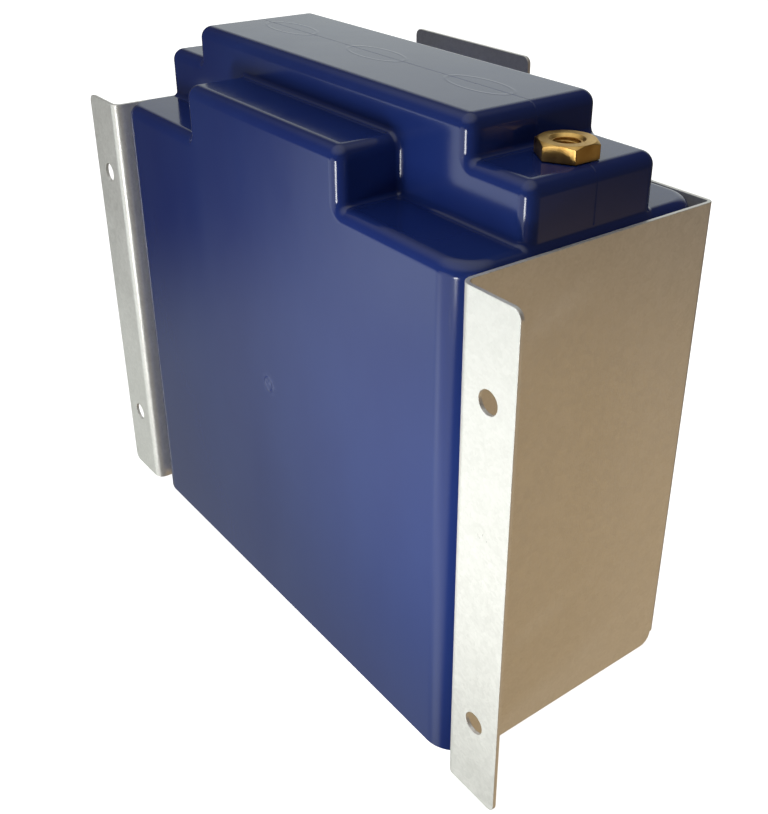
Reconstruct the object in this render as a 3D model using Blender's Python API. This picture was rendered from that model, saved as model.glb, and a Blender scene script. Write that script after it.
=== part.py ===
"""Rectangular DC-link film capacitor in a stepped moulded housing, held in a sheet metal hat bracket.

Row frame: metres, +Z up, origin in the middle of the footprint at the level the unit stands on.
+X runs along the ridge that carries the two terminals, -Y is the face the bracket's flanges share.
"""
import math

import bmesh
import bpy
from mathutils import Matrix, Vector

# ------------------------------------------------------------------ driving dimensions (metres)
GAP = 0.0003                    # clearance between pieces that touch

# Moulded housing: a box with a stepped top
CASE_LENGTH = 0.238
CASE_DEPTH = 0.110
SHOULDER_Z = 0.2005             # top of the box
PLATFORM_Z = 0.2213             # tops of the middle block and of the two terminal platforms
TOP_Z = 0.2356                  # top of the creepage block between the terminals
RIDGE_LENGTH = 0.235
RIDGE_DEPTH = 0.0583
BLOCK_LENGTH = 0.178
MIDDLE_LENGTH = 0.107
CORNER_RADIUS = 0.014           # the box's four upright corners
EDGE_RADIUS = 0.005             # every other outer edge
WALL = 0.003
BOSS_RADIUS = 0.0125            # thick ring under each platform that grips the insert
BOSS_DEPTH = 0.014

# Brass terminal inserts
TERMINAL_X = 0.1033
HEX_ACROSS_FLATS = 0.0155
HEX_HEIGHT = 0.0056
SHANK_RADIUS = 0.0075
COLLAR_RADIUS = 0.0095
COLLAR_HEIGHT = 0.003
COLLAR_BOTTOM = PLATFORM_Z - WALL - BOSS_DEPTH - GAP - COLLAR_HEIGHT
SPIGOT_RADIUS = 0.0045
SPIGOT_LENGTH = 0.0022
BORE_RADIUS = 0.00425
BORE_DEPTH = 0.019
BORE_CHAMFER = 0.0012

# Hat bracket, folded from one sheet
SHEET = 0.0015
BRACKET_DEPTH = 0.1148          # flange face to back face
BRACKET_HEIGHT = 0.199
FLANGE_TIP_X = 0.146
WEB_X = CASE_LENGTH / 2 + GAP + SHEET    # outer face of each side web
FLANGE_BEND = 0.0035            # radii of the folds, at the middle of the sheet
BACK_BEND = 0.0021
FLANGE_CORNER = 0.0035
FLANGE_HOLE_RADIUS = 0.00425
FLANGE_HOLE_X = 0.134
FLANGE_HOLE_SPACING = 0.130
TAB_LEFT = -0.0467
TAB_RIGHT = 0.0253
TAB_TOP = 0.2315
TAB_CORNER = 0.003
BACK_RISE = 0.0055              # lower edge of the back panel, and the webs' lower rear corner
TAPE_THICKNESS = 0.0003

# Winding pack
COLUMNS = 5
ROWS = 2
PACK_LENGTH = 0.222
PACK_BOTTOM = 0.0112
PACK_TOP = 0.1882
FILM_WIDTH = 0.090
SPRAY = 0.0008
ARBOR_SLOT = 0.0014
BUSBAR = 0.0010                 # thickness of the tinned copper sheet
PLATE_MARGIN = 0.004            # busbar edge to pack edge
TONGUE_WIDTH = 0.008
TONGUE_LENGTH = 0.014
TONGUE_SLIT = 0.0012
LEG_WIDTH = 0.012
LEG_ROOT = 0.020                # how far down the plate the leg starts
LEG_STEP_Z = 0.1920             # the leg's low step, under the top of the box
LEG_REACH = 0.0125              # how far the leg runs past the terminal's axis
LEG_CLEARANCE = 0.004
SHEET_INSULATION = 0.0006
WRAP_CORNER = 0.010
RESIN_RECESS = 0.0015           # resin surface above the housing's lower rim
RESIN_FLOOR = 0.0098
RESIN_WALL = 0.0026
RESIN_SHORT = 0.004             # tub rim below the top of the pack

ROUND = 32                      # facets of a full turn


# ------------------------------------------------------------------ scene and materials
def clear_scene():
    for item in list(bpy.data.objects):
        bpy.data.objects.remove(item, do_unlink=True)


def material(name, color, roughness, metallic=0.0):
    made = bpy.data.materials.new(name)
    made.use_nodes = True
    shader = made.node_tree.nodes["Principled BSDF"]
    shader.inputs["Base Color"].default_value = (*color, 1.0)
    shader.inputs["Roughness"].default_value = roughness
    shader.inputs["Metallic"].default_value = metallic
    made.diffuse_color = (*color, 1.0)
    return made


# ------------------------------------------------------------------ shared shape makers
def finish(name, bm, look, smooth_angle=None):
    """Turn a bmesh into a named object with its material."""
    bmesh.ops.recalc_face_normals(bm, faces=bm.faces)
    mesh = bpy.data.meshes.new(name)
    bm.to_mesh(mesh)
    bm.free()
    if smooth_angle is not None:
        mesh.shade_smooth()
        mesh.set_sharp_from_angle(angle=math.radians(smooth_angle))
    item = bpy.data.objects.new(name, mesh)
    bpy.context.scene.collection.objects.link(item)
    if look is not None:
        mesh.materials.append(look)
    return item


def boolean(target, tool, operation):
    """Cut or join target with tool, which becomes a wire guide."""
    step = target.modifiers.new(tool.name, "BOOLEAN")
    step.operation = operation
    step.object = tool
    step.solver = "EXACT"
    tool.hide_render = True
    tool.display_type = "WIRE"


def arc(center, radius, start, end, steps):
    """Points along an arc, angles in degrees."""
    angles = [math.radians(start + (end - start) * i / steps) for i in range(steps + 1)]
    return [(center[0] + radius * math.cos(a), center[1] + radius * math.sin(a)) for a in angles]


def rounded_outline(half_u, half_v, radius, steps):
    """Rectangle with round corners, centred on the origin, counter-clockwise."""
    points = []
    for sign_u, sign_v, start in ((1, 1, 0), (-1, 1, 90), (-1, -1, 180), (1, -1, 270)):
        corner = (sign_u * (half_u - radius), sign_v * (half_v - radius))
        points += arc(corner, radius, start, start + 90, steps)
    return points


def prism(outline, low, high, axis="Z", bm=None):
    """Bmesh solid: a 2D outline extruded along an axis; added to bm if one is given."""
    bm = bm or bmesh.new()
    order = {"X": (2, 0, 1), "Y": (0, 2, 1), "Z": (0, 1, 2)}[axis]

    def place(*uvw):
        return [uvw[index] for index in order]

    face = bm.faces.new([bm.verts.new(place(u, v, low)) for u, v in outline])
    grown = bmesh.ops.extrude_face_region(bm, geom=[face])
    moved = [part for part in grown["geom"] if isinstance(part, bmesh.types.BMVert)]
    bmesh.ops.translate(bm, vec=place(0, 0, high - low), verts=moved)
    return bm


def box(low, high):
    """Bmesh box between two corners."""
    bm = bmesh.new()
    bmesh.ops.create_cube(bm, size=1.0)
    size = [b - a for a, b in zip(low, high)]
    middle = [(a + b) / 2 for a, b in zip(low, high)]
    bmesh.ops.scale(bm, vec=size, verts=bm.verts)
    bmesh.ops.translate(bm, vec=middle, verts=bm.verts)
    return bm


def turned(profile, steps=ROUND):
    """Bmesh solid turned about Z from (radius, z) points that start and end on the axis."""
    bm = bmesh.new()
    points = [bm.verts.new((radius, 0.0, z)) for radius, z in profile]
    edges = [bm.edges.new(pair) for pair in zip(points, points[1:])]
    bmesh.ops.spin(bm, geom=points + edges, cent=(0, 0, 0), axis=(0, 0, 1), steps=steps,
                   angle=2 * math.pi, use_merge=False)
    bmesh.ops.remove_doubles(bm, verts=bm.verts, dist=1e-6)
    return bm


def stepped_solid(blocks):
    """Bmesh union of boxes centred on the Z axis, given as (half_x, half_y, bottom, top)."""
    xs = sorted({sign * block[0] for block in blocks for sign in (-1, 1)})
    ys = sorted({sign * block[1] for block in blocks for sign in (-1, 1)})
    zs = sorted({level for block in blocks for level in block[2:]})
    counts = (len(xs) - 1, len(ys) - 1, len(zs) - 1)

    def filled(i, j, k):
        if not all(0 <= at < count for at, count in zip((i, j, k), counts)):
            return False
        x, y, z = (xs[i] + xs[i + 1]) / 2, (ys[j] + ys[j + 1]) / 2, (zs[k] + zs[k + 1]) / 2
        return any(abs(x) < hx and abs(y) < hy and low < z < high for hx, hy, low, high in blocks)

    bm = bmesh.new()
    grid = {}

    def corner(i, j, k):
        if (i, j, k) not in grid:
            grid[i, j, k] = bm.verts.new((xs[i], ys[j], zs[k]))
        return grid[i, j, k]

    steps = [(di, dj, dk) for di in (0, 1) for dj in (0, 1) for dk in (0, 1)]
    for i in range(counts[0]):
        for j in range(counts[1]):
            for k in range(counts[2]):
                if not filled(i, j, k):
                    continue
                for axis in range(3):
                    for side in (0, 1):
                        other = [i, j, k]
                        other[axis] += 2 * side - 1
                        if filled(*other):
                            continue
                        ring = [step for step in steps if step[axis] == side]
                        ring[2], ring[3] = ring[3], ring[2]
                        bm.faces.new([corner(i + a, j + b, k + c) for a, b, c in ring])
    bmesh.ops.recalc_face_normals(bm, faces=bm.faces)
    bmesh.ops.dissolve_limit(bm, angle_limit=math.radians(1), verts=bm.verts, edges=bm.edges)
    return bm


# ------------------------------------------------------------------ housing
def case_blocks(inset, bottom):
    """The four boxes whose union is the housing, each face moved in by inset."""
    half_depth = CASE_DEPTH / 2 - inset
    return [
        (CASE_LENGTH / 2 - inset, half_depth, bottom, SHOULDER_Z - inset),
        (MIDDLE_LENGTH / 2 - inset, half_depth, bottom, PLATFORM_Z - inset),
        (RIDGE_LENGTH / 2 - inset, RIDGE_DEPTH / 2 - inset, bottom, PLATFORM_Z - inset),
        (BLOCK_LENGTH / 2 - inset, RIDGE_DEPTH / 2 - inset, bottom, TOP_Z - inset),
    ]


def round_upright_corners(bm, half_x, half_y, radius, steps):
    """Round the upright edges at the four corners of a box of these half sizes."""
    corners = []
    for edge in bm.edges:
        low, high = (vert.co for vert in edge.verts)
        upright = abs(low.x - high.x) < 1e-6 and abs(low.y - high.y) < 1e-6
        if upright and abs(abs(low.x) - half_x) < 1e-6 and abs(abs(low.y) - half_y) < 1e-6:
            corners.append(edge)
    bmesh.ops.bevel(bm, geom=corners, offset=radius, segments=steps, profile=0.5, affect="EDGES")


def soften_edges(bm):
    """Round every convex edge except those of the lowest face."""
    bottom = min(vert.co.z for vert in bm.verts)
    convex = [edge for edge in bm.edges
              if edge.calc_face_angle_signed() > math.radians(40)
              and max(vert.co.z for vert in edge.verts) > bottom + 1e-6]
    bmesh.ops.bevel(bm, geom=convex, offset=EDGE_RADIUS, segments=3, profile=0.5,
                    affect="EDGES", miter_outer="ARC", clamp_overlap=True)


def make_housing(look):
    outer = stepped_solid(case_blocks(0.0, 0.0)[:2])
    round_upright_corners(outer, CASE_LENGTH / 2, CASE_DEPTH / 2, CORNER_RADIUS, 6)
    soften_edges(outer)
    housing = finish("housing", outer, look, 30)
    ridge = stepped_solid(case_blocks(0.0, SHOULDER_Z - 0.020)[2:])
    soften_edges(ridge)
    boolean(housing, finish("ridge", ridge, None), "UNION")

    cavity = stepped_solid(case_blocks(WALL, -0.005))
    round_upright_corners(cavity, CASE_LENGTH / 2 - WALL, CASE_DEPTH / 2 - WALL, CORNER_RADIUS - WALL, 5)
    boolean(housing, finish("housing_cavity", cavity, None), "DIFFERENCE")

    ceiling = PLATFORM_Z - WALL
    for side, x in (("left", -TERMINAL_X), ("right", TERMINAL_X)):
        boss = turned([(0, ceiling - BOSS_DEPTH), (BOSS_RADIUS, ceiling - BOSS_DEPTH),
                       (BOSS_RADIUS, ceiling + WALL / 2), (0, ceiling + WALL / 2)])
        bmesh.ops.translate(boss, vec=(x, 0, 0), verts=boss.verts)
        boolean(housing, finish(f"boss_{side}", boss, None), "UNION")
        radius = SHANK_RADIUS + GAP
        hole = turned([(0, ceiling - 2 * BOSS_DEPTH), (radius, ceiling - 2 * BOSS_DEPTH),
                       (radius, PLATFORM_Z + WALL), (0, PLATFORM_Z + WALL)])
        bmesh.ops.translate(hole, vec=(x, 0, 0), verts=hole.verts)
        boolean(housing, finish(f"boss_hole_{side}", hole, None), "DIFFERENCE")


# ------------------------------------------------------------------ terminals
def make_terminal(side, x, look):
    """Brass insert: hexagon above the platform, shank through the boss, collar and spigot below."""
    seat = PLATFORM_Z + GAP
    top = seat + HEX_HEIGHT
    collar_top = COLLAR_BOTTOM + COLLAR_HEIGHT
    hex_corner = HEX_ACROSS_FLATS / math.sqrt(3)
    flat = HEX_ACROSS_FLATS / 2
    overlap = 0.001

    hexagon = prism([(hex_corner * math.cos(math.radians(30 + 60 * i)),
                      hex_corner * math.sin(math.radians(30 + 60 * i))) for i in range(6)], seat, top)
    bmesh.ops.translate(hexagon, vec=(x, 0, 0), verts=hexagon.verts)
    insert = finish(f"terminal_insert_{side}", hexagon, look)

    rise = (hex_corner - flat) * math.tan(math.radians(30))
    dome = turned([(0, seat - overlap), (hex_corner + overlap, seat - overlap),
                   (hex_corner + overlap, top - rise - overlap * math.tan(math.radians(30))),
                   (flat, top), (0, top)])
    bmesh.ops.translate(dome, vec=(x, 0, 0), verts=dome.verts)
    boolean(insert, finish(f"hex_chamfer_{side}", dome, None), "INTERSECT")

    shank = turned([(0, COLLAR_BOTTOM - SPIGOT_LENGTH), (SPIGOT_RADIUS, COLLAR_BOTTOM - SPIGOT_LENGTH),
                    (SPIGOT_RADIUS, COLLAR_BOTTOM), (COLLAR_RADIUS, COLLAR_BOTTOM),
                    (COLLAR_RADIUS, collar_top), (SHANK_RADIUS, collar_top),
                    (SHANK_RADIUS, seat + overlap), (0, seat + overlap)])
    bmesh.ops.translate(shank, vec=(x, 0, 0), verts=shank.verts)
    boolean(insert, finish(f"shank_{side}", shank, None), "UNION")

    bore = turned([(0, top - BORE_DEPTH), (BORE_RADIUS, top - BORE_DEPTH),
                   (BORE_RADIUS, top - BORE_CHAMFER), (BORE_RADIUS + 2 * BORE_CHAMFER, top + BORE_CHAMFER),
                   (0, top + BORE_CHAMFER)])
    bmesh.ops.translate(bore, vec=(x, 0, 0), verts=bore.verts)
    boolean(insert, finish(f"thread_bore_{side}", bore, None), "DIFFERENCE")


# ------------------------------------------------------------------ mounting bracket
def bracket_runs():
    """Centre line of the folded sheet, from the left flange's tip to the right flange's tip."""
    flange = FLANGE_TIP_X - (WEB_X - SHEET / 2) - FLANGE_BEND
    web = BRACKET_DEPTH - SHEET - FLANGE_BEND - BACK_BEND
    back = 2 * (WEB_X - SHEET / 2) - 2 * BACK_BEND
    left = [("line", flange, 0), ("bend", 90, FLANGE_BEND), ("line", web, 0), ("bend", -90, BACK_BEND)]
    return left + [("line", back, 0)] + left[::-1]


def run_length(kind, amount, radius):
    return amount if kind == "line" else math.radians(abs(amount)) * radius


def fold(s, offset):
    """Plan position of the point at distance s along the blank, offset across the sheet."""
    at = Vector((-FLANGE_TIP_X, -(BRACKET_DEPTH - SHEET) / 2))
    heading = Vector((1.0, 0.0))
    runs = bracket_runs()
    for index, (kind, amount, radius) in enumerate(runs):
        length = run_length(kind, amount, radius)
        inside = s <= length or index == len(runs) - 1
        if kind == "line":
            if inside:
                at = at + heading * s
                break
            at = at + heading * length
        else:
            turn = math.copysign(1.0, amount)
            center = at + Vector((-heading.y, heading.x)) * turn * radius
            angle = turn * (s if inside else length) / radius
            spin = Matrix.Rotation(angle, 2)
            at = center + spin @ (at - center)
            heading = spin @ heading
            if inside:
                break
        s -= length
    return at + Vector((-heading.y, heading.x)) * offset


def blank_outline(starts, total):
    """Edge of the flat blank, in distance along the sheet and height."""
    web_left, web_right = starts[3], starts[6]      # where each web ends at the back panel
    middle = total / 2
    r, t, b = FLANGE_CORNER, TAB_CORNER, BACK_RISE
    top = BRACKET_HEIGHT
    points = arc((r, r), r, 180, 270, 4)
    points += arc((web_left - b, b), b, -90, 0, 5)
    points += arc((web_right + b, b), b, 180, 270, 5)
    points += arc((total - r, r), r, 270, 360, 4)
    points += arc((total - r, top - r), r, 0, 90, 4)
    points += [(middle + TAB_RIGHT, top)]
    points += arc((middle + TAB_RIGHT - t, TAB_TOP - t), t, 0, 90, 4)
    points += arc((middle + TAB_LEFT + t, TAB_TOP - t), t, 90, 180, 4)
    points += [(middle + TAB_LEFT, top)]
    points += arc((r, top - r), r, 90, 180, 4)
    return points


def make_bracket(look):
    runs = bracket_runs()
    starts = [0.0]
    for run in runs:
        starts.append(starts[-1] + run_length(*run))
    total = starts[-1]

    hole_s = FLANGE_TIP_X - FLANGE_HOLE_X
    loops = [blank_outline(starts, total)]
    for s in (hole_s, total - hole_s):
        for side in (-1, 1):
            z = (BRACKET_HEIGHT + side * FLANGE_HOLE_SPACING) / 2
            loops.append(arc((s, z), FLANGE_HOLE_RADIUS, 0, 360, ROUND)[:-1])

    bm = bmesh.new()
    edges = []
    for loop in loops:
        verts = [bm.verts.new((s, 0.0, z)) for s, z in loop]
        edges += [bm.edges.new((verts[i - 1], verts[i])) for i in range(len(verts))]
    bmesh.ops.triangle_fill(bm, edges=edges, use_beauty=True, use_dissolve=False, normal=(0, -1, 0))
    grown = bmesh.ops.extrude_face_region(bm, geom=list(bm.faces))
    moved = [part for part in grown["geom"] if isinstance(part, bmesh.types.BMVert)]
    bmesh.ops.translate(bm, vec=(0, SHEET, 0), verts=moved)
    for index, run in enumerate(runs):
        if run[0] != "bend":
            continue
        for step in range(7):
            cut = starts[index] + (starts[index + 1] - starts[index]) * step / 6
            bmesh.ops.bisect_plane(bm, geom=list(bm.verts) + list(bm.edges) + list(bm.faces),
                                   dist=1e-6, plane_co=(cut, 0, 0), plane_no=(1, 0, 0))
    for vert in bm.verts:
        plan = fold(vert.co.x, vert.co.y - SHEET / 2)
        vert.co = (plan.x, plan.y, vert.co.z)
    finish("mounting_bracket", bm, look, 30)


def make_tape(look):
    """Double-sided tape that holds the housing to the back panel."""
    low = CASE_DEPTH / 2 + GAP
    half = CASE_LENGTH / 2 - CORNER_RADIUS - 0.006
    outline = rounded_outline(half, 0.040, 0.004, 4)
    tape = prism(outline, low, low + TAPE_THICKNESS, "Y")
    bmesh.ops.translate(tape, vec=(0, 0, SHOULDER_Z / 2), verts=tape.verts)
    finish("bond_tape", tape, look)


# ------------------------------------------------------------------ inside the housing
def winding_places():
    """Name suffix, centre and half sizes of each winding in the pack."""
    pitch_x = PACK_LENGTH / COLUMNS
    pitch_z = (PACK_TOP - PACK_BOTTOM) / ROWS
    for row in range(ROWS):
        for column in range(COLUMNS):
            x = -PACK_LENGTH / 2 + pitch_x * (column + 0.5)
            z = PACK_BOTTOM + pitch_z * (row + 0.5)
            yield row * COLUMNS + column + 1, x, z, pitch_x / 2 - GAP, pitch_z / 2 - SHEET_INSULATION


def make_winding(number, x, z, half_width, half_height, film, spray):
    """Flattened roll of metallised film with a sprayed metal layer on each end."""
    straight = half_height - half_width
    outline = arc((0, straight), half_width, 0, 180, 9) + arc((0, -straight), half_width, 180, 360, 9)
    roll = prism(outline, -FILM_WIDTH / 2, FILM_WIDTH / 2, "Y")
    bmesh.ops.translate(roll, vec=(x, 0, z), verts=roll.verts)
    winding = finish(f"winding_{number}", roll, film, 30)
    slot = box((x - ARBOR_SLOT / 2, -FILM_WIDTH, z - straight),
               (x + ARBOR_SLOT / 2, FILM_WIDTH, z + straight))
    boolean(winding, finish(f"arbor_slot_{number}", slot, None), "DIFFERENCE")
    for face, low in (("front", -FILM_WIDTH / 2 - GAP - SPRAY), ("back", FILM_WIDTH / 2 + GAP)):
        layer = prism(outline, low, low + SPRAY, "Y")
        bmesh.ops.translate(layer, vec=(x, 0, z), verts=layer.verts)
        finish(f"end_spray_{face}_{number}", layer, spray, 30)


def solder_tongues(low, high):
    """U-shaped cuts that free one solder tongue in the busbar over each winding."""
    cuts = bmesh.new()
    reach, half = TONGUE_LENGTH / 2, TONGUE_WIDTH / 2
    wide = half + TONGUE_SLIT
    shape = [(-wide, reach), (-wide, -reach - TONGUE_SLIT), (wide, -reach - TONGUE_SLIT), (wide, reach),
             (half, reach), (half, -reach), (-half, -reach), (-half, reach)]
    for _, x, z, _, _ in winding_places():
        prism([(x + u, z + v) for u, v in shape], low, high, "Y", cuts)
    bmesh.ops.recalc_face_normals(cuts, faces=cuts.faces)
    return cuts


def make_busbar(face, side, terminal_x, look):
    """Collector sheet across one side of the pack, with a folded leg up to its terminal."""
    inner = FILM_WIDTH / 2 + 2 * GAP + SPRAY
    outer = inner + BUSBAR
    half = PACK_LENGTH / 2 - PLATE_MARGIN
    low, high = sorted((side * inner, side * outer))
    plate = box((-half, low, PACK_BOTTOM + PLATE_MARGIN), (half, high, PACK_TOP - PLATE_MARGIN))
    busbar = finish(f"busbar_{face}", plate, look)
    cuts = finish(f"tongue_cuts_{face}", solder_tongues(low - GAP, high + GAP), None)
    boolean(busbar, cuts, "DIFFERENCE")

    leg_top = COLLAR_BOTTOM - GAP
    riser = RIDGE_DEPTH / 2 - WALL - LEG_CLEARANCE
    root = PACK_TOP - LEG_ROOT
    outline = [(inner, root), (inner, LEG_STEP_Z), (riser, LEG_STEP_Z), (riser, leg_top - BUSBAR),
               (-LEG_REACH, leg_top - BUSBAR), (-LEG_REACH, leg_top), (riser + BUSBAR, leg_top),
               (riser + BUSBAR, LEG_STEP_Z + BUSBAR), (outer, LEG_STEP_Z + BUSBAR), (outer, root)]
    leg = prism([(side * y, z) for y, z in outline],
                terminal_x - LEG_WIDTH / 2, terminal_x + LEG_WIDTH / 2, "X")
    boolean(busbar, finish(f"leg_{face}", leg, None), "UNION")

    radius = SPIGOT_RADIUS + GAP
    hole = turned([(0, leg_top - 2 * BUSBAR), (radius, leg_top - 2 * BUSBAR),
                   (radius, leg_top + BUSBAR), (0, leg_top + BUSBAR)])
    bmesh.ops.translate(hole, vec=(terminal_x, 0, 0), verts=hole.verts)
    boolean(busbar, finish(f"spigot_hole_{face}", hole, None), "DIFFERENCE")


def make_insulation(look):
    """Sheet round the pack, sheet between its two rows, and sheet under the busbar legs."""
    half_depth = FILM_WIDTH / 2 - GAP
    middle = (PACK_TOP + PACK_BOTTOM) / 2
    half_height = (PACK_TOP - PACK_BOTTOM) / 2 + GAP
    half_length = PACK_LENGTH / 2 + GAP
    corner = WRAP_CORNER
    thick = SHEET_INSULATION

    band = prism(rounded_outline(half_length + thick, half_height + thick, corner + thick, 4),
                 -half_depth, half_depth, "Y")
    bmesh.ops.translate(band, vec=(0, 0, middle), verts=band.verts)
    wrap = finish("pack_wrap", band, look)
    inside = prism(rounded_outline(half_length, half_height, corner, 4), -FILM_WIDTH, FILM_WIDTH, "Y")
    bmesh.ops.translate(inside, vec=(0, 0, middle), verts=inside.verts)
    boolean(wrap, finish("pack_wrap_inside", inside, None), "DIFFERENCE")

    length = PACK_LENGTH / 2 - GAP
    separator = box((-length, -half_depth, middle - thick / 2), (length, half_depth, middle + thick / 2))
    finish("row_separator", separator, look)

    low = PACK_TOP + thick + 2 * GAP
    cover = box((-length, -half_depth, low), (length, half_depth, low + thick))
    finish("top_insulator", cover, look)


def make_resin(look):
    """Cast resin that closes the underside and stands up round the pack as a tub."""
    half_x = CASE_LENGTH / 2 - WALL - GAP
    half_y = CASE_DEPTH / 2 - WALL - GAP
    radius = CORNER_RADIUS - WALL - GAP
    block = prism(rounded_outline(half_x, half_y, radius, 5), RESIN_RECESS, PACK_TOP - RESIN_SHORT)
    resin = finish("potting_resin", block, look, 30)
    room = prism(rounded_outline(half_x - RESIN_WALL, half_y - RESIN_WALL, radius - RESIN_WALL, 5),
                 RESIN_FLOOR, PACK_TOP + RESIN_SHORT)
    boolean(resin, finish("pack_room", room, None), "DIFFERENCE")


def main():
    clear_scene()
    navy = material("navy_moulding", (0.013, 0.018, 0.085), 0.22)
    zinc = material("galvanised_sheet", (0.62, 0.62, 0.60), 0.38, 1.0)
    brass = material("brass", (0.72, 0.50, 0.20), 0.28, 1.0)
    copper = material("tinned_copper", (0.74, 0.70, 0.66), 0.35, 1.0)
    film = material("metallised_film", (0.60, 0.62, 0.64), 0.30, 0.4)
    spray = material("sprayed_zinc", (0.48, 0.48, 0.47), 0.75, 0.8)
    board = material("insulation_board", (0.78, 0.66, 0.44), 0.80)
    cast = material("potting_resin", (0.03, 0.03, 0.035), 0.45)
    foam = material("tape", (0.05, 0.05, 0.05), 0.90)

    make_housing(navy)
    make_bracket(zinc)
    make_tape(foam)
    for side, x in (("left", -TERMINAL_X), ("right", TERMINAL_X)):
        make_terminal(side, x, brass)
    make_busbar("front", -1, -TERMINAL_X, copper)
    make_busbar("back", 1, TERMINAL_X, copper)
    for number, x, z, half_width, half_height in winding_places():
        make_winding(number, x, z, half_width, half_height, film, spray)
    make_insulation(board)
    make_resin(cast)


main()
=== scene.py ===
"""Looks of the DC-link film capacitor: its fine surfaces and materials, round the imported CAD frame.

Metres, +Z up, in the CAD's own frame. The moulded housing, the folded bracket and the two terminal
inserts get finely shaped meshes in place of their faceted CAD solids. The other nodes keep their
CAD shape and get a material each.
"""
import math

import bmesh
import bpy
import numpy as np
from mathutils import Matrix, Vector


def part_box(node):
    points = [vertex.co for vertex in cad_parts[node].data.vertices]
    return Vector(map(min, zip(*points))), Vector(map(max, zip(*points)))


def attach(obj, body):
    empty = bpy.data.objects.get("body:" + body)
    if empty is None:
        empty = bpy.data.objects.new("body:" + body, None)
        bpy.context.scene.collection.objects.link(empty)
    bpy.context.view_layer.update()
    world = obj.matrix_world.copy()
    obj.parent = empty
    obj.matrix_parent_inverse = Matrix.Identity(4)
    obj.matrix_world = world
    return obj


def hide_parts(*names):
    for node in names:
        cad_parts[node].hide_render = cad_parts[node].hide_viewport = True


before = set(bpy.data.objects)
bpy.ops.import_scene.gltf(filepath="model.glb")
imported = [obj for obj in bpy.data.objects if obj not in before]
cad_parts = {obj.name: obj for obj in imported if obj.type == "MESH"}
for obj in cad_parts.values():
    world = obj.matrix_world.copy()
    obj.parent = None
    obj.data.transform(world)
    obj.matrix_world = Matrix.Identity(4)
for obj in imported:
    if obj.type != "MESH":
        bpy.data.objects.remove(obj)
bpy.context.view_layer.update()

MM = 0.001

# ------------------------------------------------------------------ sizes read from the frame
_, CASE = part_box("housing")
_, SHEET_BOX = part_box("mounting_bracket")
INSERT_LOW, INSERT_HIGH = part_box("terminal_insert_right")
TERMINAL_X = (INSERT_LOW.x + INSERT_HIGH.x) / 2
HEX_ACROSS_FLATS = INSERT_HIGH.x - INSERT_LOW.x
HEX_TOP = INSERT_HIGH.z

# ------------------------------------------------------------------ sizes of the housing
SHOULDER_Z = 0.2005
PLATFORM_Z = 0.2213
RIDGE_HALF_LENGTH = 0.1175
RIDGE_HALF_DEPTH = 0.02915
BLOCK_HALF_LENGTH = 0.089
MIDDLE_HALF_LENGTH = 0.0535
CORNER_RADIUS = 0.014
EDGE_RADIUS = 0.005
FILLET = 0.0020                 # inside corners of the moulding
RIM_RADIUS = 0.0004
WALL = 0.003
BOSS_RADIUS = 0.0125
BOSS_DEPTH = 0.014
BOSS_HOLE_RADIUS = 0.0078
GATE_Z = 0.110                  # injection point on the front face
FAR = 1.0                       # longer than anything here

# ------------------------------------------------------------------ sizes of the bracket
SHEET = 0.0015
BRACKET_DEPTH = SHEET_BOX.y * 2
BRACKET_HEIGHT = 0.199
FLANGE_TIP_X = SHEET_BOX.x
WEB_GAP = 0.0003                # between the housing and the sheet at each end
WEB_X = CASE.x + WEB_GAP + SHEET
FLANGE_BEND = 0.0035
BACK_BEND = 0.0021
FLANGE_CORNER = 0.0035
FLANGE_HOLE_RADIUS = 0.00425
FLANGE_HOLE_X = 0.134
FLANGE_HOLE_SPACING = 0.130
TAB_LEFT = -0.0467
TAB_RIGHT = 0.0253
TAB_TOP = SHEET_BOX.z
TAB_CORNER = 0.003
BACK_RISE = 0.0055
SHEARED_EDGE = 0.00018          # rounding of the sheet's cut edges
BEND_STEPS = 14


# ------------------------------------------------------------------ housing as a distance field
def outside(distance):
    return np.maximum(distance, 0.0)


def stepped_outline(x, z, wide, low, narrow, high, edge, fillet):
    """Distance to a two-step outline, already moved in by edge, with a round inside corner."""
    x = np.abs(x)
    broad = np.hypot(outside(x - wide + edge), outside(z - low + edge))
    tall = np.hypot(outside(x - narrow + edge), outside(z - high + edge))
    reach = edge + fillet
    u, v = narrow + fillet - x, low + fillet - z
    at_corner = (u > 0) & (v > 0) & (u <= reach) & (v <= reach)
    web = np.where(at_corner, outside(reach - np.hypot(u, v)), FAR)
    return np.minimum(np.minimum(broad, tall), web)


def case_distance(x, y, z, inset):
    """Signed distance to the housing's outer form, moved in by inset."""
    edge = EDGE_RADIUS - inset
    fillet = FILLET + inset
    corner = CORNER_RADIUS - inset
    half_x, half_y = CASE.x - inset, CASE.y - inset
    shoulder, platform, top = SHOULDER_Z - inset, PLATFORM_Z - inset, CASE.z - inset

    plan = np.hypot(outside(np.abs(x) - half_x + corner), outside(np.abs(y) - half_y + corner)) - corner
    box = np.hypot(outside(plan + edge), outside(z - shoulder + edge)) - edge

    arms = half_x - corner
    face = stepped_outline(x, z, arms, shoulder, MIDDLE_HALF_LENGTH - inset, platform, edge, fillet)
    middle = np.hypot(face, outside(np.abs(y) - half_y + edge)) - edge

    side = stepped_outline(x, z, RIDGE_HALF_LENGTH - inset, platform,
                           BLOCK_HALF_LENGTH - inset, top, edge, fillet)
    ridge = np.hypot(side, outside(np.abs(y) - RIDGE_HALF_DEPTH + inset + edge)) - edge

    body = np.minimum(box, middle)
    corner_fill = np.hypot(outside(fillet - body), outside(fillet - ridge))
    return np.maximum(fillet, np.minimum(body, ridge)) - corner_fill


def bump(value, width):
    return np.exp(-(value / width) ** 2)


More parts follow.
